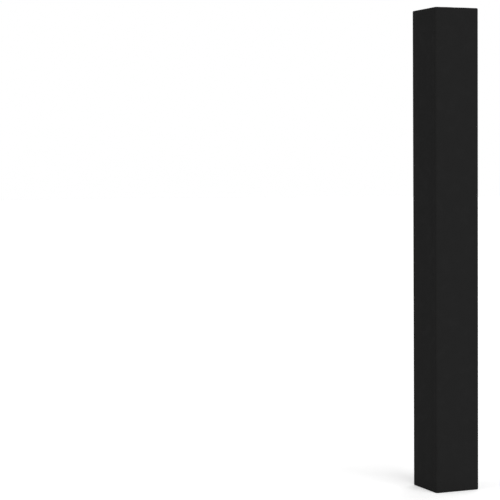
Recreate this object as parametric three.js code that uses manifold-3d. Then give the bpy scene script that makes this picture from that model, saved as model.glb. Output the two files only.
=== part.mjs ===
// A wrap-round safety pad for a square post: four mitred foam boards in one folding cover.
// Millimetres, +Z up. The post's axis is the Z axis, the pad stands on Z = 0, and its front faces -Y.
// Every panel is drawn as the front one, which faces -Y, and turned about the post to its own side.
import * as THREE from "three";
import { mergeVertices } from "three/addons/utils/BufferGeometryUtils.js";
import Module from "manifold-3d";

const wasm = await Module();
wasm.setup();

// Driving dimensions
const padHeight = 2000;
const postWidth = 140;
const postClearance = 0.9; // between the post and the lining, on each side
const foamThickness = 28;
const coverThickness = 0.9; // PVC coated cloth
const liningThickness = 0.6; // woven cloth
const seatGap = 0.3; // between two pieces that lie on each other
const foldGap = 0.4; // between two neighbouring panels at their mitre
const cornerRadius = 9; // of the cover where it folds round an upright corner
const endRadius = 5; // of the cover where it turns over the pad's top and bottom
const hemHeight = 25; // how far the cover is turned down the post side and the mitres at each end
const liningEndInset = 8; // from each end of the pad to the lining, which is sewn over the hem
const tapeWidth = 40;
const tapeThickness = 1.1; // woven base with its hooks or loops
const tapeBaseThickness = 0.5;
const tapeSelvedge = 2.5; // the bare edge of the tape beside its hooks or loops
const tapeEndInset = 12; // from each end of the pad to the tapes
const tapeEdgeMargin = 4; // from the tapes to the flap's free edge
const flapLayers = 2; // the flap is the cover's cloth, folded double
const flapEndInset = 6; // from each end of the pad to the flap
const flapCornerRadius = 10; // of the flap's two free corners, seen from behind
const overrun = 3; // how far every cut runs past what it cuts

// Half widths, from the post outwards
const liningFace = postWidth / 2 + postClearance;
const foamFace = liningFace + liningThickness + seatGap;
const coverInside = foamFace + foamThickness + seatGap;
const coverOutside = coverInside + coverThickness;

// How far each layer stays from the panel's two mitre planes
const coverFlank = foldGap / 2;
const liningFlank = coverFlank + liningThickness;
const foamFlank = liningFlank + seatGap;
const hemDepth = coverThickness + seatGap; // how far the foam gives way under the hem

// The closing corner: the flap wraps round it, so the back panel's corner is rounder to make room.
const flapThickness = flapLayers * coverThickness;
const closingRadius = cornerRadius + (flapThickness + seatGap) / (Math.SQRT2 - 1);
const loopFace = coverOutside + seatGap + tapeThickness;
const hookFace = loopFace + seatGap + tapeThickness;
const flapInside = hookFace + seatGap;
const flapOutside = flapInside + flapThickness;
const flapRise = flapOutside - coverOutside;
const tapeStart = coverOutside - closingRadius - seatGap; // the tapes lie on the flat beyond the corner
const tapeEnd = tapeStart - tapeWidth;
const flapEdge = tapeEnd - tapeEdgeMargin;

const arcSteps = 8;
const quarter = Math.PI / 2;
const mitre = Math.PI / 4;

const coverFinish = { color: 0x242424, roughness: 0.62, metalness: 0 };
const foamFinish = { color: 0x3c3c3f, roughness: 0.95, metalness: 0 };
const liningFinish = { color: 0x2b2b2d, roughness: 0.9, metalness: 0 };
const tapeFinish = { color: 0x161616, roughness: 0.85, metalness: 0 };

// A closed geometry as a solid that can be cut.
function solidOf(geometry) {
  const bare = geometry.clone();
  bare.deleteAttribute("normal");
  bare.deleteAttribute("uv");
  const merged = mergeVertices(bare);
  return new wasm.Manifold(
    new wasm.Mesh({
      numProp: 3,
      vertProperties: merged.attributes.position.array,
      triVerts: new Uint32Array(merged.index.array),
    }),
  );
}

function geometryOf(solid) {
  const mesh = solid.getMesh();
  const geometry = new THREE.BufferGeometry();
  geometry.setAttribute("position", new THREE.BufferAttribute(mesh.vertProperties, mesh.numProp));
  geometry.setIndex(new THREE.BufferAttribute(mesh.triVerts, 1));
  geometry.computeVertexNormals();
  return geometry;
}

function pieceOf(name, geometry, finish) {
  const material = new THREE.MeshStandardMaterial({ ...finish, flatShading: true });
  const piece = new THREE.Mesh(geometry, material);
  piece.name = name;
  return piece;
}

// Extrudes an outline drawn in X and Y from one height to another, with its end edges rounded.
function upright(outline, bottom, top, edgeRadius = 0) {
  const geometry = new THREE.ExtrudeGeometry(outline, {
    depth: top - bottom - 2 * edgeRadius,
    bevelEnabled: edgeRadius > 0,
    bevelThickness: edgeRadius,
    bevelSize: edgeRadius,
    bevelOffset: -edgeRadius,
    bevelSegments: arcSteps / 2,
    curveSegments: arcSteps,
  });
  return geometry.translate(0, 0, bottom + edgeRadius);
}

// The whole pad as a block, this deep under its outer surface at the sides and at both ends. Its edges
// stay concentric with the outer ones, and the front left corner may be rounder than the rest.
function block(depth, frontLeftRadius = cornerRadius) {
  const half = coverOutside - depth;
  const radius = cornerRadius - depth;
  const eased = frontLeftRadius - depth;
  const outline = new THREE.Shape();
  outline.moveTo(eased - half, -half);
  outline.lineTo(half - radius, -half);
  outline.absarc(half - radius, radius - half, radius, -quarter, 0);
  outline.absarc(half - radius, half - radius, radius, 0, quarter);
  outline.absarc(radius - half, half - radius, radius, quarter, 2 * quarter);
  outline.absarc(eased - half, eased - half, eased, 2 * quarter, 3 * quarter);
  return solidOf(upright(outline, depth, padHeight - depth, endRadius - depth));
}

// Everything in front of the post between the two front mitre planes, this far from them, and this far
// from the post's axis.
function sector(flank, nearest, bottom, top) {
  const reach = coverOutside + overrun;
  const shift = flank * Math.SQRT2;
  const outline = new THREE.Shape();
  outline.moveTo(nearest - shift, -nearest);
  outline.lineTo(shift - nearest, -nearest);
  outline.lineTo(shift - reach, -reach);
  outline.lineTo(reach - shift, -reach);
  return solidOf(upright(outline, bottom, top));
}

function fullSector(flank, nearest) {
  return sector(flank, nearest, -overrun, padHeight + overrun);
}

// The cover of one panel: a skin that folds half way round both corners, and a cap at each end that is
// turned down over the post side and the mitres as a hem. Between the two hems it is open.
function coverPanel(frontLeftRadius) {
  const outside = block(0, frontLeftRadius);
  const inside = block(coverThickness, frontLeftRadius);
  const skin = outside.intersect(fullSector(coverFlank, foamFace)).subtract(inside);
  const boards = outside.intersect(fullSector(foamFlank, foamFace));
  const pocket = inside.intersect(fullSector(foamFlank + coverThickness, foamFace + coverThickness));
  const window = sector(-overrun, foamFace - overrun, hemHeight, padHeight - hemHeight);
  const caps = boards.subtract(pocket).subtract(inside.intersect(window));
  return geometryOf(skin.add(caps));
}

// One foam board: flat on both faces, its edges cut at 45 degrees, and pressed in under the hems.
function foamPanel(frontLeftRadius) {
  const filling = block(hemDepth, frontLeftRadius);
  const hemEnd = hemHeight + seatGap;
  const middle = filling.intersect(sector(foamFlank, foamFace, hemEnd, padHeight - hemEnd));
  const whole = filling.intersect(fullSector(foamFlank + hemDepth, foamFace + hemDepth));
  return geometryOf(middle.add(whole));
}

// The lining of one panel: flat on the post side, over the hems, and folded down both mitres.
function liningPanel(frontLeftRadius) {
  const filling = block(hemDepth, frontLeftRadius);
  const sheet = sector(coverFlank, liningFace, liningEndInset, padHeight - liningEndInset);
  const board = fullSector(liningFlank, liningFace + liningThickness);
  return geometryOf(filling.intersect(sheet).subtract(board));
}

function panelGroup(name, turn, frontLeftRadius = cornerRadius) {
  const group = new THREE.Group();
  group.rotation.z = turn;
  group.add(pieceOf(name + "_cover", coverPanel(frontLeftRadius), coverFinish));
  group.add(pieceOf(name + "_foam", foamPanel(frontLeftRadius), foamFinish));
  group.add(pieceOf(name + "_lining", liningPanel(frontLeftRadius), liningFinish));
  return group;
}

// The flap's section: it leaves the mitre plane square to it, rises clear of the tapes, bends round to
// lie along the panel, and ends in the round edge where its cloth is folded double.
function flapOutline() {
  const cornerAt = cornerRadius - coverOutside;
  const step = coverFlank / Math.SQRT2;
  const startAt = (radius) => {
    const middle = cornerAt - radius / Math.SQRT2;
    return [middle + step, middle - step];
  };
  const bendX = cornerAt + flapRise;
  const bendY = cornerAt - flapRise;
  const insideRadius = cornerRadius - flapThickness;
  const edgeRadius = flapThickness / 2;
  const slant = -quarter - mitre;
  const outline = new THREE.Shape();
  outline.moveTo(...startAt(insideRadius));
  outline.lineTo(...startAt(cornerRadius));
  outline.absarc(bendX, bendY, cornerRadius, slant, -quarter);
  outline.absarc(-flapEdge - edgeRadius, -flapInside - edgeRadius, edgeRadius, -quarter, quarter);
  outline.absarc(bendX, bendY, insideRadius, -quarter, slant, true);
  return outline;
}

// The flap's shape seen square on, X across and Y up: its two free corners are rounded.
function flapFace() {
  const past = -coverOutside - overrun;
  const bottom = flapEndInset;
  const top = padHeight - flapEndInset;
  const radius = flapCornerRadius;
  const outline = new THREE.Shape();
  outline.moveTo(past, top);
  outline.lineTo(past, bottom);
  outline.absarc(-flapEdge - radius, bottom + radius, radius, -quarter, 0);
  outline.absarc(-flapEdge - radius, top - radius, radius, 0, quarter);
  return outline;
}

function closureFlap() {
  const strip = solidOf(upright(flapOutline(), 0, padHeight));
  const near = cornerRadius + overrun;
  const face = upright(flapFace(), 0, near + flapRise + overrun);
  face.rotateX(quarter);
  face.translate(0, near - coverOutside, 0);
  return geometryOf(strip.intersect(solidOf(face)));
}

// A tape over the panel's face: a woven base whose back lies at one distance from the post's axis, and
// its hooks or loops towards the other distance, with a bare selvedge along both edges.
function tapeStrip(backFace, pileFace) {
  const way = Math.sign(pileFace - backFace);
  const baseFace = backFace + way * tapeBaseThickness;
  const outline = new THREE.Shape();
  outline.moveTo(-tapeStart, -backFace);
  outline.lineTo(-tapeStart, -baseFace);
  outline.lineTo(tapeSelvedge - tapeStart, -baseFace);
  outline.lineTo(tapeSelvedge - tapeStart, -pileFace);
  outline.lineTo(-tapeEnd - tapeSelvedge, -pileFace);
  outline.lineTo(-tapeEnd - tapeSelvedge, -baseFace);
  outline.lineTo(-tapeEnd, -baseFace);
  outline.lineTo(-tapeEnd, -backFace);
  return upright(outline, tapeEndInset, padHeight - tapeEndInset);
}

const pad = new THREE.Group();
pad.add(panelGroup("front", 0));
pad.add(panelGroup("left", -quarter));
pad.add(panelGroup("right", quarter));

// Seen from behind, the closing corner is the back panel's left one, like the front left of a front panel.
const backPanel = panelGroup("back", 2 * quarter, closingRadius);
const loopTape = tapeStrip(coverOutside + seatGap, loopFace);
const hookTape = tapeStrip(hookFace, loopFace + seatGap);
backPanel.add(pieceOf("loop_tape", loopTape, tapeFinish));
backPanel.add(pieceOf("hook_tape", hookTape, tapeFinish));
backPanel.add(pieceOf("closure_flap", closureFlap(), coverFinish));
pad.add(backPanel);

export default pad;
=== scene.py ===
# %% [markdown]
# This lesson dresses a basketball pole pad: four foam boards in one black leatherette cover, wrapped round
# a square post and closed with hook and loop tape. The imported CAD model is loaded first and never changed.
# It says how large the pad is and where each piece lies, and it is what moves when the pad is unwrapped.

# %% Load the frame
import math

import bmesh
import bpy
import numpy as np
from mathutils import Matrix, Vector, noise


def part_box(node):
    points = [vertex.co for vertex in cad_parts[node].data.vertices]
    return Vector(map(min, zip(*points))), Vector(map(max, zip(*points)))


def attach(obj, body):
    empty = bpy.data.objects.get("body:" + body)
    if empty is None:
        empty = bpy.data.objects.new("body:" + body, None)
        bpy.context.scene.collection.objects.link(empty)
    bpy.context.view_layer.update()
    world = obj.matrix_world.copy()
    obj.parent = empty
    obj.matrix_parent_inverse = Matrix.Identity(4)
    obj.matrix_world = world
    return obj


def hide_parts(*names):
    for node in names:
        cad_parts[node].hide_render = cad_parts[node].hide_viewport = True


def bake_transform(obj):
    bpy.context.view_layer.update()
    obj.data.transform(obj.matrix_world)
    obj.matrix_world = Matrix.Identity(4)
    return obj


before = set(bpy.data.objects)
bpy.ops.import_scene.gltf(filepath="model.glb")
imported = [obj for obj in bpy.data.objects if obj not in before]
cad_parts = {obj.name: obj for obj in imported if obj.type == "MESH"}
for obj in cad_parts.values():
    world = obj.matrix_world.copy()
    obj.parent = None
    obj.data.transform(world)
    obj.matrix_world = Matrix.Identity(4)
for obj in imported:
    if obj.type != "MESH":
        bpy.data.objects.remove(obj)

bpy.context.view_layer.update()

# %% [markdown]
# Every size comes from the frame or from a few named values in metres. Each panel is drawn once, as the
# front one, which faces -Y, and is then turned about the post. In that drawing X runs across the panel, and
# each slanted edge lies beside a mitre plane at 45 degrees.

# %% Sizes
pad_half = -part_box("front_cover")[0].y
pad_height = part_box("front_cover")[1].z
foam_face = -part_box("front_foam")[1].y
lining_face = -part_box("front_lining")[1].y
flap_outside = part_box("closure_flap")[1].y
flap_free_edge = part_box("closure_flap")[0].x
flap_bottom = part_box("closure_flap")[0].z
tape_low, tape_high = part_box("loop_tape")
hook_low, hook_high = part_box("hook_tape")

cloth_thickness = 0.0009
fold_radius = 0.009
end_radius = 0.005
closing_radius = 0.01407
fold_margin = 0.008  # flat cloth beside a fold that belongs to the fold's own piece
seam_at = pad_half - fold_radius - fold_margin
cap_flank = 0.0011  # from the mitre plane to the turned in cloth
free_flank = 0.0002  # from the mitre plane to the free edge of the cover
cap_edge_radius = 0.0018
hem_height = 0.025

board_middle = (0, -(pad_half + foam_face) / 2, pad_height / 2)
diagonal = math.sqrt(0.5)  # how far a slanted step of length 1 goes along X and along Y
turns = {"front": 0.0, "left": -math.pi / 2, "right": math.pi / 2, "back": math.pi}
print(f"pad {2 * pad_half:.3f} m wide, {pad_height:.3f} m high, wall {pad_half - lining_face:.4f} m")

# %% [markdown]
# A sheet of cloth is easiest to control as grids of points, one for each part of it. Grids that share edge
# points are joined into one sheet here, much as panels are sewn together, and a vector can be kept for each
# point, such as its place on the flat cloth. Sculpting or box modelling would also give the shape, but not
# points in known places.

# %% Grids of points
weld_distance = 2e-6


def grid_faces(rows, columns, start):
    """The quads of a grid of points, row by row."""
    corner = start + np.arange(rows - 1)[:, None] * columns + np.arange(columns - 1)[None, :]
    return np.stack([corner, corner + 1, corner + columns + 1, corner + columns], axis=-1).reshape(-1, 4)


def object_of(name, points, faces):
    mesh = bpy.data.meshes.new(name)
    mesh.from_pydata(np.asarray(points).tolist(), [], faces)
    made = bpy.data.objects.new(name, mesh)
    bpy.context.scene.collection.objects.link(made)
    return made


def remember(made, name, vectors):
    """Keeps a vector for each point of a mesh, under a name that a material can ask for."""
    layer = made.data.attributes.new(name, "FLOAT_VECTOR", "POINT")
    layer.data.foreach_set("vector", np.asarray(vectors, np.float32).ravel())


def point_vectors(made, kind):
    """The place, co, or the normal of every point of a mesh."""
    found = np.empty(len(made.data.vertices) * 3, np.float32)
    made.data.vertices.foreach_get(kind, found)
    return found.reshape(-1, 3).astype(float)


def put(made, points):
    """Moves every point of a mesh to its new place."""
    made.data.vertices.foreach_set("co", np.asarray(points, np.float32).ravel())
    made.data.update()


def sewn(name, patches, inside, cloth=None):
    """Joins grids into one sheet along the points they share. Its faces look away from the point inside.
    Cloth holds each point's place across and along the flat cloth, in metres."""
    faces, count = [], 0
    for patch in patches:
        rows, columns = patch.shape[:2]
        faces += grid_faces(rows, columns, count).tolist()
        count += rows * columns
    made = object_of(name, np.concatenate([patch.reshape(-1, 3) for patch in patches]), faces)
    if cloth is not None:
        remember(made, "cloth", cloth)
    mesh = bmesh.new()
    mesh.from_mesh(made.data)
    bmesh.ops.remove_doubles(mesh, verts=mesh.verts, dist=weld_distance)
    bmesh.ops.recalc_face_normals(mesh, faces=mesh.faces)
    middle = Vector(inside)
    outward = sum(
        face.calc_area() * face.normal.dot(face.calc_center_median() - middle) for face in mesh.faces
    )
    if outward < 0:
        bmesh.ops.reverse_faces(mesh, faces=mesh.faces)
    mesh.to_mesh(made.data)
    mesh.free()
    return made


print("points weld within", weld_distance, "m")

# %% [markdown]
# Every piece is finished in the same way. A sheet gets its thickness from a Solidify modifier, which is
# applied at once, and a block has its open ends closed. Each point then remembers where it lies at rest,
# so that the grain sticks to the cloth when the pad is folded open. An object's own coordinates would do
# for that only as long as nothing bends.

# %% Thickness and finish
crease_angle = math.radians(38)


def closed(made):
    """Closes the open ends of a mesh and turns its faces outward."""
    mesh = bmesh.new()
    mesh.from_mesh(made.data)
    bmesh.ops.holes_fill(mesh, edges=mesh.edges, sides=0)
    bmesh.ops.recalc_face_normals(mesh, faces=mesh.faces)
    mesh.to_mesh(made.data)
    mesh.free()
    return made


def thickened(made, thickness):
    """Gives a sheet its thickness, towards the inside, and makes that part of its mesh."""
    solid = made.modifiers.new("thickness", "SOLIDIFY")
    solid.thickness = thickness
    solid.offset = -1
    solid.use_even_offset = True
    graph = bpy.context.evaluated_depsgraph_get()
    shape = made.evaluated_get(graph)
    mesh = bpy.data.meshes.new_from_object(shape, preserve_all_data_layers=True, depsgraph=graph)
    made.modifiers.clear()
    thin = made.data
    made.data = mesh
    bpy.data.meshes.remove(thin)
    return made


def finished(made, material):
    """Smooth shading with crisp rims, the material, and each point's place at rest."""
    made.data.shade_smooth()
    made.data.set_sharp_from_angle(angle=crease_angle)
    remember(made, "rest", point_vectors(made, "co"))
    made.data.materials.clear()
    made.data.materials.append(material)
    return made


def turned(made, panel):
    """Turns a mesh about the post, from the front to the side of its panel."""
    made.data.transform(Matrix.Rotation(turns[panel], 4, "Z"))
    return made


def dressed(made, panel, material, kind):
    """Lets a piece take the place of its panel's cover, foam or lining, and move with that panel."""
    finished(turned(made, panel), material)
    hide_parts(f"{panel}_{kind}")
    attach(made, panel)
    print(made.name, len(made.data.polygons), "faces")
    return made


print("edges sharper than", round(math.degrees(crease_angle)), "degrees stay crisp")

# %% [markdown]
# Materials are built with two small classes. The first, Signal, wraps one output of a node, and plain
# arithmetic on it adds Math nodes, so 1 - mask * 0.5 reads as it would on paper. Nodes could be placed and
# linked one by one, as in the editor, but then the sum would be lost in the wiring.

# %% Arithmetic on node outputs
class Signal:
    """One output of a node, with arithmetic."""

    def __init__(self, finish, socket):
        self.finish = finish
        self.socket = socket

    def worked(self, operation, first, second):
        return self.finish.signal(0, "Math", {"operation": operation}, {0: first, 1: second})

    def __add__(self, other):
        return self.worked("ADD", self, other)

    def __radd__(self, other):
        return self.worked("ADD", other, self)

    def __sub__(self, other):
        return self.worked("SUBTRACT", self, other)

    def __rsub__(self, other):
        return self.worked("SUBTRACT", other, self)

    def __mul__(self, other):
        return self.worked("MULTIPLY", self, other)

    def __rmul__(self, other):
        return self.worked("MULTIPLY", other, self)


print("Signal ready")

# %% [markdown]
# The second, Finish, holds one material, its Principled shader and the few patterns that this object
# needs: noise, cells, threads and bumps. A number that is the same all over the surface is set on the
# shader itself, and only what varies is linked.

# %% A material and its nodes
class Finish:
    """A material and its shader. The surround, which has the same kind of nodes, uses it too."""

    def __init__(self, owner, shader="Principled BSDF", **constants):
        self.owner = owner
        self.owner.use_nodes = True
        self.tree = owner.node_tree
        self.shader = self.tree.nodes[shader]
        self.link(**constants)

    def feed(self, socket, value):
        """Links a signal to a socket, or sets a plain value on it."""
        if isinstance(value, Signal):
            self.tree.links.new(value.socket, socket)
        else:
            socket.default_value = value

    def node(self, kind, settings=None, values=None):
        """A node of any type, with its settings and what goes into its sockets."""
        made = self.tree.nodes.new("ShaderNode" + kind)
        for key, value in (settings or {}).items():
            setattr(made, key, value)
        for key, value in (values or {}).items():
            self.feed(made.inputs[key], value)
        return made

    def signal(self, output, kind, settings=None, values=None):
        """The signal that comes out of a new node."""
        return Signal(self, self.node(kind, settings, values).outputs[output])

    def at(self, attribute):
        """The place of a point, kept on the mesh as an attribute."""
        return self.signal("Vector", "Attribute", {"attribute_name": attribute})

    def noise(self, place, per_metre, detail=2.0, roughness=0.5):
        values = {"Vector": place, "Scale": per_metre, "Detail": detail, "Roughness": roughness}
        return self.signal("Fac", "TexNoise", {}, values)

    def cells(self, place, per_metre, smoothness=0.6):
        """Rounded cells, 0 in the middle of each and higher towards its rim."""
        values = {"Vector": place, "Scale": per_metre, "Smoothness": smoothness}
        return self.signal("Distance", "TexVoronoi", {"feature": "SMOOTH_F1"}, values)

    def wave(self, value, per_metre):
        """A sine of a length, from 0 to 1."""
        turn = value * (2 * math.pi * per_metre)
        return self.signal(0, "Math", {"operation": "SINE"}, {0: turn}) * 0.5 + 0.5

    def across_and_along(self, place):
        """The first two numbers of a vector."""
        axes = self.node("SeparateXYZ", {}, {"Vector": place}).outputs
        return Signal(self, axes["X"]), Signal(self, axes["Y"])

    def spread(self, value, low, high):
        """Maps this part of a range to 0 to 1, clamped."""
        values = {"Value": value, "From Min": low, "From Max": high, "To Min": 0, "To Max": 1}
        return self.signal(0, "MapRange", {}, values)

    def mixed(self, mask, first, second):
        """Mixes two colours, which are sockets 6 and 7 of a Mix node."""
        return self.signal(2, "Mix", {"data_type": "RGBA"}, {0: mask, 6: first, 7: second})

    def bump(self, height, distance, strength=1.0, **below):
        """Turns a height into a normal, on top of the bump below where there is one."""
        values = {"Height": height, "Distance": distance, "Strength": strength, **below}
        return self.signal("Normal", "Bump", {}, values)

    def link(self, **values):
        """Feeds the shader's own sockets."""
        for key, value in values.items():
            self.feed(self.shader.inputs[key.replace("_", " ")], value)
        return self.owner


def new_finish(name, **constants):
    return Finish(bpy.data.materials.new(name), **constants)


def grey(value, warm=0.0):
    """A near neutral colour, a little warm or a little cold."""
    return (value * (1 + warm), value, value * (1 - warm), 1.0)


print("Finish ready, a middle grey is", grey(0.5))

# %% [markdown]
# The cover is PVC leatherette: a matte black film over cloth, pressed with a fine pebble grain. The grain
# is a rounded cell pattern about a millimetre wide, softened with noise. The film is a touch greyer where
# it has been rubbed. The shine is low, so that the faces stay an even dark grey, as they are in the
# photograph.

# %% Leatherette
grain_per_metre = 900
pores_per_metre = 3200
blotches_per_metre = 22
cover_dark = grey(0.0142)
cover_rubbed = grey(0.0172)


def leatherette():
    finish = new_finish("black leatherette", Specular_IOR_Level=0.02)
    place = finish.at("rest")
    grain = finish.cells(place, grain_per_metre)
    pores = finish.noise(place, pores_per_metre, detail=3)
    blotches = finish.noise(place, blotches_per_metre, detail=4, roughness=0.6)
    rubbed = finish.spread(blotches, low=0.5, high=0.78)
    colour = finish.mixed(rubbed * 0.5 + grain * 0.6, cover_dark, cover_rubbed)
    roughness = 0.81 - rubbed * 0.07 - grain * 0.05 + pores * 0.06
    pebbles = finish.bump(1 - grain, distance=0.00035, strength=0.8)
    normal = finish.bump(pores, distance=0.00005, strength=0.5, Normal=pebbles)
    return finish.link(Base_Color=colour, Roughness=roughness, Normal=normal)


cover_material = leatherette()
print("made", cover_material.name)

# %% [markdown]
# The lining is a plain woven cloth in charcoal, and the tapes have a woven base too. Both need a
# direction, so they read where a point lies across and along the flat cloth. Two sines, one each way, make
# threads that go over and under each other, and slow noise keeps the weave from looking printed.

# %% Woven cloth
lining_threads_per_metre = 420
tape_threads_per_metre = 900
thread_drift = 0.0006


def woven(name, dark, light, threads_per_metre, thread_height):
    finish = new_finish(
        name, Roughness=0.92, Specular_IOR_Level=0.1, Sheen_Weight=0.04, Sheen_Roughness=0.5
    )
    place = finish.at("cloth")
    across, along = finish.across_and_along(place)
    drift = finish.noise(place, per_metre=30)
    over = finish.wave(across + drift * thread_drift, threads_per_metre)
    under = finish.wave(along + drift * thread_drift, threads_per_metre)
    thread = over * (1 - under) + under * (1 - over)
    fuzz = finish.noise(place, per_metre=5000)
    dust = finish.noise(place, per_metre=9, detail=3, roughness=0.6)
    colour = finish.mixed(thread * 0.55 + fuzz * 0.2 + dust * 0.35, dark, light)
    normal = finish.bump(thread + fuzz * 0.4, thread_height, strength=0.7)
    return finish.link(Base_Color=colour, Normal=normal)


lining_material = woven(
    "charcoal lining",
    grey(0.013, warm=-0.02),
    grey(0.034, warm=-0.02),
    lining_threads_per_metre,
    thread_height=0.00025,
)
tape_material = woven(
    "tape webbing", grey(0.007), grey(0.017), tape_threads_per_metre, thread_height=0.00015
)
print("made", lining_material.name, "and", tape_material.name)

# %% [markdown]
# Foam is a cut sponge: small open cells on every face, with a few larger ones. It is closed in by the
# cover and the lining, so it only shows where someone takes the pad apart, but it is finished like the
# rest. Thread is the shiniest thing on the pad, and the pile of the tapes is a mat of strands with larger
# tufts.

# %% Foam, thread and pile
def foam():
    finish = new_finish("grey foam", Roughness=0.95, Specular_IOR_Level=0.15)
    place = finish.at("rest")
    small = finish.cells(place, per_metre=650, smoothness=0.3)
    large = finish.spread(finish.cells(place, per_metre=160, smoothness=0.2), low=0, high=0.25)
    dark, light = grey(0.022, warm=-0.03), grey(0.062, warm=-0.03)
    colour = finish.mixed(small * 0.7 + large * 0.3, dark, light)
    normal = finish.bump(small * 0.5 + large, distance=0.0005, strength=0.6)
    return finish.link(Base_Color=colour, Normal=normal)


def thread():
    finish = new_finish("black thread", Specular_IOR_Level=0.35)
    place = finish.at("rest")
    twist = finish.noise(place, per_metre=2600)
    colour = finish.mixed(twist, grey(0.010), grey(0.030))
    roughness = 0.45 + twist * 0.3
    normal = finish.bump(twist, distance=0.0001)
    return finish.link(Base_Color=colour, Roughness=roughness, Normal=normal)


def pile(name, dark, light):
    finish = new_finish(
        name, Roughness=0.85, Specular_IOR_Level=0.15, Sheen_Weight=0.08, Sheen_Roughness=0.4
    )
    place = finish.at("rest")
    strands = finish.noise(place, per_metre=2400, detail=4, roughness=0.7)
    tufts = finish.noise(place, per_metre=380)
    colour = finish.mixed(strands * 0.7 + tufts * 0.3, dark, light)
    normal = finish.bump(strands + tufts, distance=0.0004, strength=0.8)
    return finish.link(Base_Color=colour, Normal=normal)


foam_material = foam()
thread_material = thread()
loop_material = pile("loop pile", grey(0.006), grey(0.022))
hook_material = pile("hook bristle", grey(0.005), grey(0.015))
print("made", foam_material.name, thread_material.name, loop_material.name, hook_material.name)

# %% [markdown]
# The cover of a panel is drawn from its outline, seen from above. The outline follows the flat face and
# turns round the upright corners. At a fold the next piece of cloth takes over, eight millimetres before
# the corner. At the closing corner the cover ends, close to the mitre plane.

# %% The outline of a panel
column_width = 0.006
straight_columns = round(2 * seam_at / column_width)
fold_arc_cells = 3
edge_arc_cells = 6
corner_radius_of = {"fold": fold_radius, "edge": fold_radius, "eased": closing_radius}


def line_at(across, y):
    """Points along X, all at one Y."""
    return np.column_stack([across, np.full(len(across), y)])


def corner_points(inset, radius, angle):
    """Points round the right corner, turned this far from the face."""
    middle = pad_half - radius
    left_over = radius - inset
    return np.column_stack([middle + left_over * np.sin(angle), -middle - left_over * np.cos(angle)])


def corner_arc(inset, radius, flank, cells):
    """Points round the right corner, from the face to this far from the mitre plane."""
    last_angle = math.acos(flank / (radius - inset)) - math.pi / 4
    return corner_points(inset, radius, np.linspace(0, last_angle, cells + 1))


def side_points(kind, inset, trimmed):
    """The outline beyond the straight columns, on the right. A trimmed fold has none."""
    if kind == "fold" and trimmed:
        return np.empty((0, 2))
    radius = corner_radius_of[kind]
    flank = cap_flank
    cells = fold_arc_cells
    if kind != "fold":
        flank = free_flank + (cap_flank - free_flank) * inset / end_radius
        cells = edge_arc_cells
    flat = line_at(np.linspace(seam_at, pad_half - radius, 3)[1:-1], inset - pad_half)
    return np.concatenate([flat, corner_arc(inset, radius, flank, cells)])


def outline(kinds, inset, trimmed):
    """The panel's outer edge seen from above, from its left to its right."""
    middle = line_at(np.linspace(-seam_at, seam_at, straight_columns + 1), inset - pad_half)
    left = side_points(kinds[0], inset, trimmed)[::-1] * (-1, 1)
    right = side_points(kinds[1], inset, trimmed)
    return np.concatenate([left, middle, right])


print("outline up to a free edge", len(outline(("fold", "edge"), 0.0, True)), "points")

# %% [markdown]
# That outline is repeated up the pad, one row of points for each height. The rows are closer together near
# the two ends, where the cloth turns and puckers, and further apart along the middle. Round each end the
# outline draws in and rises by a quarter circle.

# %% Heights
fine_row = 0.0035
coarse_row = 0.0075
fine_reach = 0.05
roll_steps = 4


def heights(low, high):
    """Rows from one height to another, fine near both."""
    fine = np.linspace(0, fine_reach, round(fine_reach / fine_row) + 1)
    length = high - low
    coarse_count = round((length - 2 * fine_reach) / coarse_row)
    coarse = np.linspace(fine_reach, length - fine_reach, coarse_count + 1)[1:-1]
    return low + np.concatenate([fine, coarse, (length - fine)[::-1]])


def roll(step):
    """How far in and how far up the cloth has come on its way round the end of a board."""
    angle = step / roll_steps * math.pi / 2
    return end_radius * (1 - math.cos(angle)), end_radius * math.sin(angle)


def raised(flat_points, height):
    return np.column_stack([flat_points, np.full(len(flat_points), height)])


def skin_patch(outline_at):
    """The outer face and the rolls at both ends, from the outline at each inset."""
    rolls = [roll(step) for step in range(1, roll_steps + 1)]
    face = outline_at(0.0)
    rows = [raised(outline_at(inset), end_radius - rise) for inset, rise in reversed(rolls)]
    rows += [raised(face, height) for height in heights(end_radius, pad_height - end_radius)]
    rows += [raised(outline_at(inset), pad_height - end_radius + rise) for inset, rise in rolls]
    return np.array(rows)


print("columns", straight_columns, "rows", len(heights(end_radius, pad_height - end_radius)))

# %% [markdown]
# A maker turns the cloth over the end of the board and sews it down inside. Here a cap grid crosses the top
# of the board, from the outline to the post side, and a hem grid hangs from it along both mitres and the
# post side. All the grids share their edge points, so they join into one sheet. One flat grid folded over
# would pinch at the mitred corners.

# %% The ends of a cover
cap_row_shares = (0, 0.08, 0.25, 0.45, 0.65, 0.85, 0.94, 0.98, 1)
hem_rows = 8


def from_mitre(across, deep):
    """How far points lie from the mitre plane, from how far across and how far out they are."""
    return (deep - across) / math.sqrt(2)


def mitred(deep, flank):
    """How far across a face this far out may reach, to stay this far from the mitre plane."""
    return deep - flank * math.sqrt(2)


def edge_drop(points):
    """How far the cap has dropped below the top near its mitre and post side edges."""
    across, deep = np.abs(points[:, 0]), np.abs(points[:, 1])
    distance = np.minimum(from_mitre(across, deep) - cap_flank, deep - foam_face)
    short = np.clip(cap_edge_radius - distance, 0, cap_edge_radius)
    return cap_edge_radius - np.sqrt(cap_edge_radius**2 - short**2)


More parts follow.
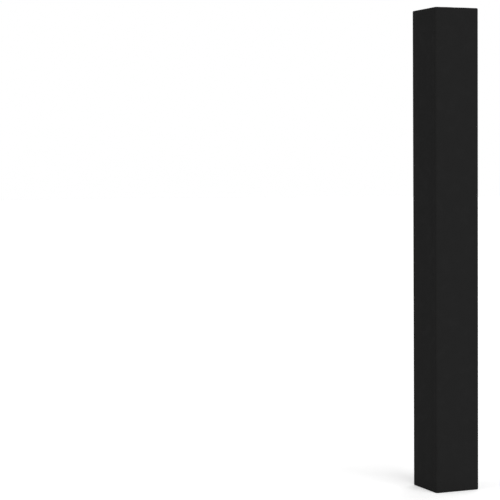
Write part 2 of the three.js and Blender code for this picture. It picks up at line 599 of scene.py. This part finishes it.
def cap_patch(kinds):
    """The cloth over the top of a board."""
    outer = outline(kinds, end_radius, False)
    outer_half = np.where(outer[:, 0] < 0, -outer[0, 0], outer[-1, 0])
    inner = line_at(outer[:, 0] / outer_half * mitred(foam_face, cap_flank), -foam_face)
    rows = []
    for share in cap_row_shares:
        flat = (1 - share) * outer + share * inner
        faded = min(1.0, share / cap_row_shares[1])
        rows.append(np.column_stack([flat, pad_height - faded * edge_drop(flat)]))
    return np.array(rows)


def hem_end(kind, side, depth):
    """Where the hem along a mitre ends, close behind the skin."""
    start = cloth_thickness + free_flank
    inset = start
    if depth < end_radius:
        reach = end_radius - start
        rise = min(reach, end_radius - depth)
        inset = end_radius - math.sqrt(reach**2 - rise**2)
    point = corner_arc(inset, corner_radius_of[kind], cap_flank, 1)[-1]
    return point * (side, 1)


def hem_patch(kinds, cap):
    """The cloth that is turned down inside, along the left mitre, the post side and the right mitre."""
    rows = [np.concatenate([cap[:, 0], cap[-1, 1:-1], cap[::-1, -1]])]
    shares = np.array(cap_row_shares)[:, None]
    for depth in np.linspace(0, hem_height, hem_rows)[1:]:
        left_row = (1 - shares) * hem_end(kinds[0], -1, depth) + shares * cap[-1, 0, :2]
        right_row = (1 - shares) * hem_end(kinds[1], 1, depth) + shares * cap[-1, -1, :2]
        flat = np.concatenate([left_row, cap[-1, 1:-1, :2], right_row[::-1]])
        rows.append(raised(flat, pad_height - depth))
    return np.array(rows)


def upside_down(patch):
    """The same patch at the other end of the pad."""
    return patch * (1, 1, -1) + (0, 0, pad_height)


def cover_sheet(name, kinds):
    skin = skin_patch(lambda inset: outline(kinds, inset, True))
    cap = cap_patch(kinds)
    hem = hem_patch(kinds, cap)
    return sewn(name, [skin, cap, hem, upside_down(cap), upside_down(hem)], board_middle)


print("cap", len(cap_row_shares), "rows, hem", hem_rows, "rows and", hem_height, "m deep")

# %% [markdown]
# Nothing about cloth is quite even. Two small helpers serve every soft piece: a step that fades smoothly
# from 0 to 1, and a ripple of soft noise. The noise has no random draws in it, so each run gives the same
# pad.

# %% Fades and ripples
def smooth_step(low, high, value):
    share = np.clip((value - low) / (high - low), 0, 1)
    return share * share * (3 - 2 * share)


def ripple(points, wavelength, phase):
    """Soft noise, mostly between -1 and 1, over an array of points."""
    shift = Vector((phase, 1.7 * phase, 2.3 * phase))
    return np.array([noise.noise(Vector(point) / wavelength + shift) for point in points])


print("a fade a quarter of the way in is", smooth_step(0, 1, 0.25))

# %% [markdown]
# Leatherette over foam is never quite flat. Blender's cloth solver gives it its ease: the sheet is held at
# its seams and hems, made a fraction larger than the board and pushed from inside, and in twenty frames it
# finds its own soft waves. What it moved is then limited to about a millimetre and faded out at the seams,
# so that the faces and edges stay as straight as in the photograph and the next piece of cloth still
# meets it.

# %% The cloth solver
cloth_frames = 20
cloth_settings = {
    "quality": 6,
    "mass": 0.4,
    "tension_stiffness": 30,
    "compression_stiffness": 30,
    "shear_stiffness": 15,
    "bending_stiffness": 2,
    "use_pressure": True,
    "uniform_pressure_force": 4.0,
    "shrink_min": -0.002,  # below zero the cloth grows
    "vertex_group_mass": "held",
}


def simulated(made, held):
    """How far the cloth solver moves each point of a sheet."""
    scene = bpy.context.scene
    copy = made.copy()
    copy.data = made.data.copy()
    scene.collection.objects.link(copy)
    group = copy.vertex_groups.new(name="held")
    group.add(np.flatnonzero(held).tolist(), 1.0, "REPLACE")
    cloth = copy.modifiers.new("cloth", "CLOTH")
    for key, value in cloth_settings.items():
        setattr(cloth.settings, key, value)
    cloth.settings.effector_weights.gravity = 0
    cloth.collision_settings.use_collision = False
    for clock in (scene, cloth.point_cache):
        clock.frame_start, clock.frame_end = 1, cloth_frames
    for number in range(1, cloth_frames + 1):
        scene.frame_set(number)
    shape = copy.evaluated_get(bpy.context.evaluated_depsgraph_get())
    change = point_vectors(shape, "co") - point_vectors(made, "co")
    scene.frame_set(1)
    old = copy.data
    bpy.data.objects.remove(copy)
    bpy.data.meshes.remove(old)
    return change


def limited(change, facing, out, back, sideways):
    """Keeps a move within soft limits: outward, inward and along the sheet."""
    rise = np.einsum("ij,ij->i", change, facing)
    slide = change - rise[:, None] * facing
    rise = np.where(rise > 0, out * np.tanh(rise / out), back * np.tanh(rise / back))
    length = np.linalg.norm(slide, axis=1, keepdims=True) + 1e-12  # never quite 0
    slide = slide / length * sideways * np.tanh(length / sideways)
    return rise[:, None] * facing + slide


print("the solver runs for", cloth_frames, "frames, and not at all for a quick look")

# %% [markdown]
# On the real pad the stitches, the hems and the closed flap hold the cloth down, and it is free only in
# between. The freedom of a point says how much of the solver's move it takes.

# %% How far a cover may move
phase_of = {"front": 3.1, "left": 11.7, "right": 23.9, "back": 37.3}
unevenness_width = 0.06
swell = 0.0012
dip = 0.0003
slide = 0.0004
seam_fade = 0.03
end_fade = 0.012
cap_fade = 0.006
cap_rim_fade = 0.004


def cover_freedom(panel, points):
    """0 where the cover is held, 1 where it may move fully. The closed flap presses the back one flat."""
    across, deep, height = np.abs(points[:, 0]), -points[:, 1], points[:, 2]
    from_flap = smooth_step(0, seam_fade, points[:, 0] + flap_free_edge) if panel == "back" else 1
    on_cap = deep < pad_half - end_radius + weld_distance
    cap_freedom = (
        smooth_step(0, cap_fade, from_mitre(across, deep) - cap_flank)
        * smooth_step(0, cap_fade, deep - foam_face)
        * smooth_step(0, cap_rim_fade, pad_half - end_radius - deep)
    )
    face_freedom = (
        smooth_step(0, seam_fade, seam_at - across)
        * smooth_step(0, end_fade, np.minimum(height, pad_height - height))
        * from_flap
    )
    return np.where(on_cap, cap_freedom, face_freedom)


def held_points(points):
    """The seams, the hems and the mitre edges."""
    across = np.abs(points[:, 0])
    deep = -points[:, 1]
    at_seam = across > seam_at - weld_distance
    near_mitre = from_mitre(across, deep) < 2 * cap_flank
    return at_seam | near_mitre | (deep < foam_face + weld_distance)


def settled(cover, panel):
    """Where the points of a cover lie once its cloth has settled on the board."""
    at = point_vectors(cover, "co")
    freedom = cover_freedom(panel, at)[:, None]
    uneven = ripple(at, unevenness_width, phase_of[panel])[:, None] * point_vectors(cover, "normal")
    start = at + freedom * uneven * dip / 2
    put(cover, start)
    change = simulated(cover, held_points(at))
    print(panel, "solver moved", round(float(np.abs(change).max()) * 1000, 2), "mm at most")
    return start + freedom * limited(change, point_vectors(cover, "normal"), swell, dip, slide)


print("a cover may swell", swell, "m, dip", dip, "m and slide", slide, "m")

# %% [markdown]
# All four covers go through the same steps. They differ only in their two sides: three corners are folds,
# and at the fourth the right panel ends in a plain edge, and the back one in an eased corner, which is
# rounder to make room for the flap.

# %% The four covers
panel_kinds = {
    "front": ("fold", "fold"),
    "left": ("fold", "fold"),
    "right": ("fold", "edge"),
    "back": ("eased", "fold"),
}
for panel, kinds in panel_kinds.items():
    cover = cover_sheet(f"{panel}_cover_cloth", kinds)
    points = settled(cover, panel)
    points[:, 2] = np.maximum(points[:, 2], 0)  # it stands on the floor
    put(cover, points)
    dressed(thickened(cover, cloth_thickness), panel, cover_material, "cover")

# %% [markdown]
# At three corners the cover folds, and the pad opens there. The strip of cloth round such a corner is
# drawn at the right corner of its first panel and turned into place there. Its two flat margins end exactly
# where the panels' own cloth starts.

# %% The three folds
fold_arc_steps = 12
margin_steps = 3
tuck_columns = slice(margin_steps, margin_steps + fold_arc_steps + 1)
tuck_depths = ((0.0052, 0.0008), (0.0075, 0.0010), (0.0080, 0.0045))  # inset, and drop below the end
folds = {"right_fold": ("front", "right"), "left_fold": ("left", "front"), "back_fold": ("back", "left")}


def fold_outline(inset):
    """A fold seen from above, at the right corner of its first panel."""
    flat = np.linspace(seam_at, pad_half - fold_radius, margin_steps + 1)[:-1]
    first = line_at(flat, inset - pad_half)
    arc = corner_points(inset, fold_radius, np.linspace(0, math.pi / 2, fold_arc_steps + 1))
    last = -first[::-1, ::-1]  # the first margin, mirrored over the mitre plane
    return np.concatenate([first, arc, last])


def fold_patches():
    """The strip, and at each of its ends a narrow tuck behind the rim."""
    skin = skin_patch(fold_outline)
    tuck = [skin[-1][tuck_columns]]
    for inset, drop in tuck_depths:
        tuck.append(raised(fold_outline(inset)[tuck_columns], pad_height - drop))
    return [skin, np.array(tuck), upside_down(np.array(tuck))]


def turned_point(point, panel):
    return Matrix.Rotation(turns[panel], 3, "Z") @ Vector(point)


for name, (first, second) in folds.items():
    strip = sewn(f"{name}_cloth", fold_patches(), inside=(seam_at, -seam_at, pad_height / 2))
    finished(turned(thickened(strip, cloth_thickness), first), cover_material)
    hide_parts(f"{first}_cover", f"{second}_cover")
    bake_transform(strip)
    print(strip.name, "bends between", first, "and", second)

# %% [markdown]
# Each foam board is a closed block with 45 degree edges. Its ends are a little smaller, where the turned in
# hem presses it. Bevels on a box would round every edge alike, so a ring of points is drawn for each
# height instead, and the two ends are closed with a face.

# %% The foam boards
foam_gap = 0.0003
foam_skin = cloth_thickness + foam_gap
board_columns = 9
board_arc_cells = 4
board_rows = 22


def board_ring(kinds, inset, flank, post_side):
    """A board seen from above: its rounded outer edge, then its post side."""
    middle = line_at(np.linspace(-seam_at, seam_at, board_columns), inset - pad_half)
    left = corner_arc(inset, corner_radius_of[kinds[0]], flank, board_arc_cells)[::-1] * (-1, 1)
    right = corner_arc(inset, corner_radius_of[kinds[1]], flank, board_arc_cells)
    inner_half = mitred(post_side, flank)
    inner = line_at(np.linspace(inner_half, -inner_half, board_columns), -post_side)
    return np.concatenate([left, middle, right, inner])


def foam_board(name, kinds):
    pressed = (cap_flank + foam_skin, foam_face + foam_skin)
    free = (cap_flank, foam_face)
    radius = end_radius - foam_skin
    low = []
    for angle in np.linspace(math.pi / 2, 0, roll_steps + 1):
        inset = end_radius - radius * math.cos(angle)
        low.append(raised(board_ring(kinds, inset, *pressed), end_radius - radius * math.sin(angle)))
    low.append(raised(board_ring(kinds, foam_skin, *pressed), hem_height))
    low.append(raised(board_ring(kinds, foam_skin, *free), hem_height + foam_skin))
    high = [upside_down(row) for row in reversed(low)]
    middle_heights = np.linspace(low[-1][0, 2], high[0][0, 2], board_rows)[1:-1]
    middle = [raised(board_ring(kinds, foam_skin, *free), height) for height in middle_heights]
    rows = np.array(low + middle + high)
    ring = np.concatenate([rows, rows[:, :1]], axis=1)
    return closed(sewn(name, [ring], board_middle))


for panel, kinds in panel_kinds.items():
    board = dressed(foam_board(f"{panel}_foam_board", kinds), panel, foam_material, "foam")

# %% [markdown]
# The lining is a channel of woven cloth: down one mitre, across the post side and up the other mitre. Its
# section is drawn as a line of points, each with the way that it faces, because everything that makes the
# cloth uneven moves it along that way.

# %% The section of a lining
lining_flank = 0.0003
lining_inset = 0.0018  # from the cover's outer face to the lining's edge in the mitre
lining_corner = 0.0015
lining_columns = 13
lining_corner_points = 4
lining_slant_points = 8


def lining_half(kind):
    """The right half of the channel's section, from its middle outwards, and the way each point faces."""
    corner_at = mitred(lining_face, lining_flank) - lining_corner * math.tan(math.pi / 8)
    flat = line_at(np.linspace(0, corner_at, lining_columns), -lining_face)
    angle = np.linspace(math.pi / 2, math.pi / 4, lining_corner_points)[1:]
    around_corner = np.column_stack([np.cos(angle), np.sin(angle)])
    bend = np.array([corner_at, -lining_face - lining_corner]) + lining_corner * around_corner
    edge = corner_arc(lining_inset, corner_radius_of[kind], lining_flank, 1)[-1]
    shares = np.linspace(0, 1, lining_slant_points)[1:, None]
    slant = (1 - shares) * bend[-1] + shares * edge
    forward = np.tile((0.0, 1.0), (len(flat), 1))
    sideways = np.tile((diagonal, diagonal), (len(slant), 1))
    return np.concatenate([flat, bend, slant]), np.concatenate([forward, around_corner, sideways])


def lining_section(kinds):
    """The whole section from left to right, and the way each point faces."""
    left, right = lining_half(kinds[0]), lining_half(kinds[1])
    return [np.concatenate([half[:0:-1] * (-1, 1), other]) for half, other in zip(left, right)]


print("front lining drawn through", len(lining_section(panel_kinds["front"])[0]), "points")

# %% [markdown]
# A lining is sewn over the hems at both ends. Between the rows of stitches it is a little loose, so soft
# noise moves it by a fraction of a millimetre towards the foam, and its turned edge is a little thicker.
# The waves are too small to be worth a run of the cloth solver.

# %% The linings
lining_thickness = 0.0005
lining_end = 0.008
lining_stitches_at = 0.0055  # from the lining's edge
rim_stitches_at = 0.004  # from the lining's long edges, deep in the mitres
stitch_dent_width = 0.0015
lining_looseness = 0.0003
loose_reach = 0.05  # from the lining's edge
lining_wave_width = 0.045
turned_edge = 0.00025
turned_edge_fade = (0.008, 0.010)  # from the lining's edge


def lining_sheet(name, kinds, phase):
    section, facing = lining_section(kinds)
    steps = np.linalg.norm(np.diff(section, axis=0), axis=1)
    across = np.concatenate([[0], np.cumsum(steps)])
    from_rim = np.minimum(across, across[-1] - across)
    free = smooth_step(rim_stitches_at, 3 * rim_stitches_at, from_rim)
    rows, cloth = [], []
    for height in heights(lining_end, pad_height - lining_end):
        from_edge = min(height, pad_height - height) - lining_end
        loose = lining_looseness * float(smooth_step(lining_stitches_at, loose_reach, from_edge))
        thick = turned_edge * float(1 - smooth_step(*turned_edge_fade, from_edge))
        dent = turned_edge * math.exp(-(((from_edge - lining_stitches_at) / stitch_dent_width) ** 2))
        wave = ripple(raised(line_at(across, 0), height), lining_wave_width, phase)
        back = loose * free * (0.5 + 0.5 * wave) - thick + dent + turned_edge
        rows.append(raised(section - facing * back[:, None], height))
        cloth.append(raised(line_at(across, height), 0))
    return sewn(name, [np.array(rows)], board_middle, np.array(cloth)), across[-1]


for panel, kinds in panel_kinds.items():
    lining, lining_width = lining_sheet(f"{panel}_lining_cloth", kinds, phase_of[panel])
    dressed(thickened(lining, lining_thickness), panel, lining_material, "lining")

# %% [markdown]
# The closing flap is the end of the cover, folded double. It leaves the right panel at the mitre of the
# closing corner, rises clear of the tapes and lies along the back panel. It is drawn as one long section:
# out along the outer layer, round the folded edge and back along the inner layer. The two rows of stitches
# press shallow grooves into it, and beyond them its free edge is a little wavy.

# %% The flap seen from above
flap_thickness = 2 * cloth_thickness
layer_thickness = 0.00085
flap_top = pad_height - flap_bottom
flap_rise = flap_outside - pad_half
flap_corner_radius = 0.010
flap_arc_points = 7
flap_columns = 8
tape_stitches_at = 0.00125  # from each long edge of a tape
stitch_rows = (tape_low.x + tape_stitches_at, tape_high.x - tape_stitches_at)
groove_depth = 0.00022
groove_width = 0.0011
groove_spread = np.array([-2.2, -1.1, -0.5, 0, 0.5, 1.1, 2.2]) * groove_width
corner_middle = np.array([1.0, 1.0]) * (pad_half - fold_radius)
bend_middle = corner_middle + (-flap_rise, flap_rise)
flap_root_angle = math.pi / 4 - free_flank / fold_radius
rise_stops = 15


def around(middle, radius, angles):
    """Points of an arc."""
    return [middle + radius * np.array([math.cos(angle), math.sin(angle)]) for angle in angles]


def flap_leg(radius, out):
    """One layer: from the corner's arc to the bend, round it, and along the back panel."""
    root = around(corner_middle, radius, [flap_root_angle])[0]
    bend = around(bend_middle, radius, np.linspace(math.pi / 4, math.pi / 2, flap_arc_points))
    rise = [root + share * (bend[0] - root) for share in np.linspace(0, 1, rise_stops)[:-1]]
    near_edge = [flap_free_edge + cloth_thickness, *(stitch_rows[0] + groove_spread)]
    near_bend = [x for x in stitch_rows[1] + groove_spread if x < bend_middle[0]]
    stops = [*near_edge, *np.linspace(*stitch_rows, flap_columns)[1:-1], *near_bend]
    return rise + bend + [np.array([x, out]) for x in reversed(stops)]


def flap_section():
    """The whole line of points, and how many of them belong to the outer layer."""
    outer = flap_leg(fold_radius, flap_outside)
    inner = flap_leg(fold_radius - flap_thickness, flap_outside - flap_thickness)
    edge_middle = np.array([flap_free_edge + cloth_thickness, flap_outside - cloth_thickness])
    half_turn = np.linspace(math.pi / 2, 3 * math.pi / 2, flap_arc_points)
    edge = around(edge_middle, cloth_thickness, half_turn[1:-1])
    return np.array(outer + edge + inner[::-1]), len(outer)


section, outer_count = flap_section()

# %% [markdown]
# The section is repeated up the pad. Near the free edge each end of a line is pulled in by a quarter
# circle, which rounds the two free corners.

# %% The closing flap
edge_wave = 0.0004
edge_wave_reach = 0.006
edge_wave_width = 0.07
hinge_length = 0.006


def flap_sheet():
    from_edge = section[:, 0] - flap_free_edge
    short = np.clip(flap_corner_radius - from_edge, 0, flap_corner_radius)
    cut = flap_corner_radius - np.sqrt(flap_corner_radius**2 - short**2)
    groove = sum(np.exp(-(((section[:, 0] - row) / groove_width) ** 2)) for row in stitch_rows)
    groove[outer_count:] = 0
    loose = 1 - smooth_step(flap_thickness / 2, edge_wave_reach, from_edge)
    rows = []
    for height in heights(flap_bottom, flap_top):
        share = (height - flap_bottom) / (flap_top - flap_bottom)
        level = (1 - share) * (flap_bottom + cut) + share * (flap_top - cut)
        spots = np.column_stack([np.zeros((len(section), 2)), level])
        lift = edge_wave * loose * (0.5 + ripple(spots, edge_wave_width, phase_of["right"]))
        rows.append(np.column_stack([section[:, 0], section[:, 1] + lift - groove_depth * groove, level]))
    middle = ((flap_free_edge + pad_half) / 2, flap_outside - cloth_thickness, pad_height / 2)
    return sewn("closure_flap_cloth", [np.array(rows)], middle)


flap = finished(thickened(flap_sheet(), layer_thickness), cover_material)
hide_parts("closure_flap")
hinge_start = around(corner_middle, fold_radius, [math.pi / 4])[0]
hinge_end = hinge_start + hinge_length * diagonal * np.array([-1, 1])
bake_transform(flap)
print(flap.name, len(flap.data.polygons), "faces")

# %% [markdown]
# Hook and loop tape is a woven band with a bare edge for sewing and a field of pile between. A band is
# drawn as a thin closed strip with its long edges rounded off. The loops are a low uneven felt on it.

# %% The bands and the loops
band_columns = 12
band_depth = 0.0005  # from the tape's back to the foot of its pile
bare_edge = 0.0025
felt_cell = 0.0021
tuft_width = 1.7 * felt_cell
tuft_phase = 5.0
felt_unevenness = 0.00025
felt_sink = 0.0001  # into the band
loop_foot = tape_low.y + band_depth
hook_foot = hook_high.y - band_depth


def band(name, low, high, back_face, front_face):
    """The woven band of a tape, from the cloth that it is sewn on to the foot of its pile."""
    rim = abs(front_face - back_face) / 3
    middle = (back_face + front_face) / 2
    across = [low.x, *np.linspace(low.x + rim, high.x - rim, band_columns), high.x]
    front = [middle, *[front_face] * band_columns, middle]
    back = [middle, *[back_face] * band_columns, middle]
    loop = np.array([*zip(across, front), *zip(across[-2::-1], back[-2::-1])])
    levels = heights(low.z, high.z)
    rows = [raised(loop, height) for height in levels]
    cloth = [raised(line_at(loop[:, 0], height), 0) for height in levels]
    inside = ((low.x + high.x) / 2, middle, pad_height / 2)
    return closed(sewn(name, [np.array(rows)], inside, np.array(cloth)))


def even_stops(low, high):
    """Evenly spaced places across the felt, as near to its cell as fits."""
    length = high - low - 2 * bare_edge
    return np.linspace(low + bare_edge, high - bare_edge, round(length / felt_cell) + 1)


def loop_felt(name, low, high, foot, tip):
    """The loops: an uneven surface whose rim goes down to the band."""
    wide, tall = np.meshgrid(even_stops(low.x, high.x), even_stops(low.z, high.z))
    spots = np.column_stack([wide.ravel(), tall.ravel(), np.zeros(wide.size)])
    tufts = ripple(spots, tuft_width, tuft_phase).reshape(wide.shape)
    surface = tip - felt_unevenness * (0.5 + 0.5 * tufts)
    surface[[0, -1]] = foot - felt_sink
    surface[:, [0, -1]] = foot - felt_sink
    patch = np.stack([wide, surface, tall], axis=-1)
    return closed(sewn(name, [patch], ((low.x + high.x) / 2, foot - band_depth, pad_height / 2)))


loop_band = band("loop_tape_band", tape_low, tape_high, pad_half, loop_foot)
loop_pile = loop_felt("loop_tape_pile", tape_low, tape_high, loop_foot, tape_high.y)
hook_band = band("hook_tape_band", hook_low, hook_high, flap_outside - flap_thickness, hook_foot)
print("bands and felt", [len(part.data.polygons) for part in (loop_band, loop_pile, hook_band)], "faces")

# %% [markdown]
# Hooks and stitches are thousands of small rods. One rod is drawn through a few rings, and copies of it are
# put in place with their own axes and joined into one mesh, because as objects of their own they would be
# thousands of pieces.

# %% Rods
def rod(rings, sides):
    """A rod along X. Each ring gives its place, its radius and how far it is bent towards Z."""
    angles = 2 * math.pi * (np.arange(sides) + 0.5) / sides
    points = [
        (place, radius * math.cos(angle), bend + radius * math.sin(angle))
        for place, radius, bend in rings
        for angle in angles
    ]
    faces = [tuple(range(sides)), tuple(range(len(points) - sides, len(points)))]
    for start in range(0, len(points) - sides, sides):
        for side in range(sides):
            after = (side + 1) % sides
            faces.append((start + side, start + after, start + sides + after, start + sides + side))
    return np.array(points), faces


def repeated(name, one, spots):
    """Copies of one rod, each with its own place and axes, in one mesh."""
    points, faces = one
    placed = [points @ axes + place for place, axes in spots]
    starts = range(0, len(points) * len(spots), len(points))
    joined = [tuple(start + point for point in face) for start in starts for face in faces]
    return closed(object_of(name, np.concatenate(placed), joined))


print("a rod of two rings and four sides has", len(rod(((0, 1, 0), (1, 1, 0)), sides=4)[1]), "faces")

# %% [markdown]
# The hooks are bristles that bend over at their tips, in rows that lean to and fro. A bump in the material
# would do for the closed pad, but these are real geometry, because they catch the light and break up the
# outline of the tape when the flap is open.

# %% The hooks
hook_pitch_across = 0.0024
hook_pitch_along = 0.0030
hook_radius = 0.00022
hook_lean = 0.0004
hook_length = hook_foot - hook_low.y
hook_rings = (
    (0, hook_radius, 0),
    (0.75 * hook_length, 0.9 * hook_radius, hook_lean / 3),
    (hook_length, 0.5 * hook_radius, hook_lean),
)


def hook_spots(low, high, foot):
    """Where each hook stands. It points away from the flap, and every other row leans down."""
    across = np.arange(low.x + bare_edge + hook_pitch_across / 2, high.x - bare_edge, hook_pitch_across)
    along = np.arange(low.z + bare_edge + hook_pitch_along / 2, high.z - bare_edge, hook_pitch_along)
    spots = []
    for row, height in enumerate(along):
        axes = np.array([(0, -1, 0), (1, 0, 0), (0, 0, 1 if row % 2 else -1)])
        spots += [(np.array([x, foot, height]), axes) for x in across]
    return spots


hook_pile = repeated("hook_tape_pile", rod(hook_rings, sides=3), hook_spots(hook_low, hook_high, hook_foot))
print(hook_pile.name, len(hook_pile.data.polygons), "faces")

# %% [markdown]
# Each tape's band and pile replace that tape's solid. The loops stay on the back panel and the hooks go
# with the flap.

# %% Put the tapes on
tape_parts = (
    (loop_band, tape_material, "loop_tape", "back"),
    (loop_pile, loop_material, "loop_tape", "back"),
    (hook_band, tape_material, "hook_tape", "flap"),
    (hook_pile, hook_material, "hook_tape", "flap"),
)
for part, material, tape, body in tape_parts:
    finished(part, material)
    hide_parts(tape)
    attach(part, body)
    print(part.name, "rides on", body)

# %% [markdown]
# Stitches are short threads that dip into the cloth at both ends. Both tapes are sewn along their edges and
# across their ends, and the seams of the hook tape also show on the outside of the flap. A row of stitches
# is given by where it starts, where it ends and the way that it faces.

# %% Stitches of the tapes
thread_radius = 0.00028
stitch_length = 0.0033
stitch_pitch = 0.0043
stitch_rings = (
    (-0.50 * stitch_length, 0.5 * thread_radius, -0.9 * thread_radius),
    (-0.28 * stitch_length, thread_radius, 0.15 * thread_radius),
    (0.28 * stitch_length, thread_radius, 0.15 * thread_radius),
    (0.50 * stitch_length, 0.5 * thread_radius, -0.9 * thread_radius),
)


def stitch_spots(start, end, facing):
    start, end, facing = (np.array(value, float) for value in (start, end, facing))
    run = end - start
    way = run / np.linalg.norm(run)
    axes = np.array([way, np.cross(facing, way), facing])
    count = max(1, int(np.linalg.norm(run) / stitch_pitch))
    return [(start + run * (number + 0.5) / count, axes) for number in range(count)]


def stitched(name, rows, body):
    """All the stitches in some rows, as one piece that rides on a body."""
    spots = [spot for row in rows for spot in stitch_spots(*row)]
    made = finished(repeated(name, rod(stitch_rings, sides=4), spots), thread_material)
    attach(made, body)
    print(made.name, len(spots), "stitches")
    return made


def tape_seam(y, facing):
    """Down both long edges of a tape and across both ends."""
    left, right = stitch_rows
    low, high = tape_low.z + tape_stitches_at, tape_high.z - tape_stitches_at
    corners = [(left, y, low), (left, y, high), (right, y, high), (right, y, low)]
    return [(start, end, (0, facing, 0)) for start, end in zip(corners, corners[1:] + corners[:1])]


flap_seams = tape_seam(flap_outside - groove_depth, 1) + tape_seam(hook_foot, -1)
flap_stitches = stitched("flap_stitches", flap_seams, "flap")
loop_stitches = stitched("loop_tape_stitches", tape_seam(loop_foot, 1), "back")

# %% [markdown]
# Each lining is sewn over the hems near both its ends, and down both mitres, a few millimetres from its
# long edges. The seam across the lining is in three straight parts, as the lining itself is.

# %% Stitches of the linings
lining_front = lining_face + turned_edge
seam_flank = lining_flank + turned_edge
seam_corner = mitred(lining_front, seam_flank)
corner_clearance = 0.002


def lining_seams(kinds):
    low = lining_end + lining_stitches_at
    ends = (low, pad_height - low)
    reach = seam_corner - corner_clearance
    rows = [((-reach, -lining_front, height), (reach, -lining_front, height), (0, 1, 0)) for height in ends]
    for side, kind in zip((-1, 1), kinds):
        inner = np.array([seam_corner, -lining_front]) * (side, 1)
        outer = corner_arc(lining_inset, corner_radius_of[kind], seam_flank, 1)[-1] * (side, 1)
        way = (outer - inner) / np.linalg.norm(outer - inner)
        inner = inner + way * corner_clearance
        outer = outer - way * rim_stitches_at
        facing = (-side * diagonal, diagonal, 0)
        rows += [((*inner, height), (*outer, height), facing) for height in ends]
        rows.append(((*outer, ends[0]), (*outer, ends[1]), facing))
    return rows


for panel, kinds in panel_kinds.items():
    rows = [[turned_point(value, panel) for value in row] for row in lining_seams(kinds)]
    stitched(f"{panel}_lining_stitches", rows, panel)

# %% [markdown]
# A panel's cover is as long as the pad with both its ends and hems, and widest where the hems of its
# slanted edges stand out, so its real area is given too, as it was cut, before the solver eased it. A
# fold's strip and a tape are plain rectangles. The flap is the width of both its layers.

# %% [markdown]
# The studio is plain: a wide pale floor, an even pale surround, and three broad soft suns. The background
# shows pure white, because the floor and the surround add a little light of their own to rays that come
# straight from the camera, off a mirror or through glass. That extra light doesn't fall on the pad. It is
# lit by the surround's plain level and by the suns, under which a colour renders about as it is written.
# The front sun is the strongest, so the left face is a little darker than the front.

# %% Studio
floor_radius = 60.0
floor_sides = 96
floor_grey = 0.84
floor_lift = 0.35
surround_level = 0.35
sun_spread = math.radians(50)
suns = {
    "front": ((0.15, -0.83, 0.53), 0.60),
    "left": ((-0.83, 0.15, 0.53), 0.20),
    "back": ((0.65, 0.51, 0.56), 0.25),
}


def shown_white(finish):
    """1 for rays from the camera, off a mirror or through glass, and 0 for light that falls on things."""
    rays = finish.node("LightPath").outputs
    camera, glossy, through = (
        Signal(finish, rays[name]) for name in ("Is Camera Ray", "Is Glossy Ray", "Is Transmission Ray")
    )
    return camera.worked("MINIMUM", camera + glossy + through, 1)


def floor():
    rim = around(np.zeros(2), floor_radius, np.linspace(0, 2 * math.pi, floor_sides + 1)[:-1])
    made = object_of("floor", raised(np.array(rim), 0), [tuple(range(floor_sides))])
    finish = new_finish("pale floor", Base_Color=grey(floor_grey), Roughness=0.9, Specular_IOR_Level=0.1)
    finish.link(Emission_Color=shown_white(finish), Emission_Strength=floor_lift)
    made.data.materials.append(finish.owner)


def sun(name, towards, level):
    """A level of 1 makes a white surface that faces the sun as bright as white paper."""
    data = bpy.data.lights.new(name, "SUN")
    data.energy = level * math.pi
    data.angle = sun_spread
    made = bpy.data.objects.new(name, data)
    bpy.context.scene.collection.objects.link(made)
    made.rotation_mode = "QUATERNION"
    made.rotation_quaternion = Vector(towards).to_track_quat("Z", "Y")


surround = bpy.data.worlds.new("pale surround")
bpy.context.scene.world = surround
sky = Finish(surround, "Background", Color=grey(1.0))
sky.link(Strength=surround_level + (1 - surround_level) * shown_white(sky))
floor()
for name, (towards, level) in suns.items():
    sun(name, towards, level)
print("studio with", len(suns), "suns")

# %% [markdown]
# The camera stands where the picture was taken from. Its place was worked out from the corners of the pad
# in the picture: about seven metres away, two thirds of the way up, looking slightly down, with the pad
# near the right edge of the frame.

# %% Camera
camera_place = (-3.3395, -5.9907, 1.3605)
camera_heading = math.radians(-22.294)  # from the +Y direction, to the right
camera_tilt = math.radians(2.968)  # down
camera_roll = math.radians(-0.464)
camera_lens = 117.4  # millimetres, on a sensor that is 36 wide

camera_data = bpy.data.cameras.new("camera")
camera_data.lens = camera_lens
camera = bpy.data.objects.new("camera", camera_data)
bpy.context.scene.collection.objects.link(camera)
camera.matrix_world = (
    Matrix.Translation(camera_place)
    @ Matrix.Rotation(camera_heading, 4, "Z")
    @ Matrix.Rotation(math.pi / 2 - camera_tilt, 4, "X")
    @ Matrix.Rotation(camera_roll, 4, "Z")
)
bpy.context.scene.camera = camera
bpy.context.scene.view_settings.view_transform = "Standard"
print("camera", round(Vector(camera_place).xy.length, 2), "m away, lens", camera_lens, "mm")

# %% [markdown]
# The dressed pad should be as large as the frame.

# %% Update the scene
bpy.context.view_layer.update()
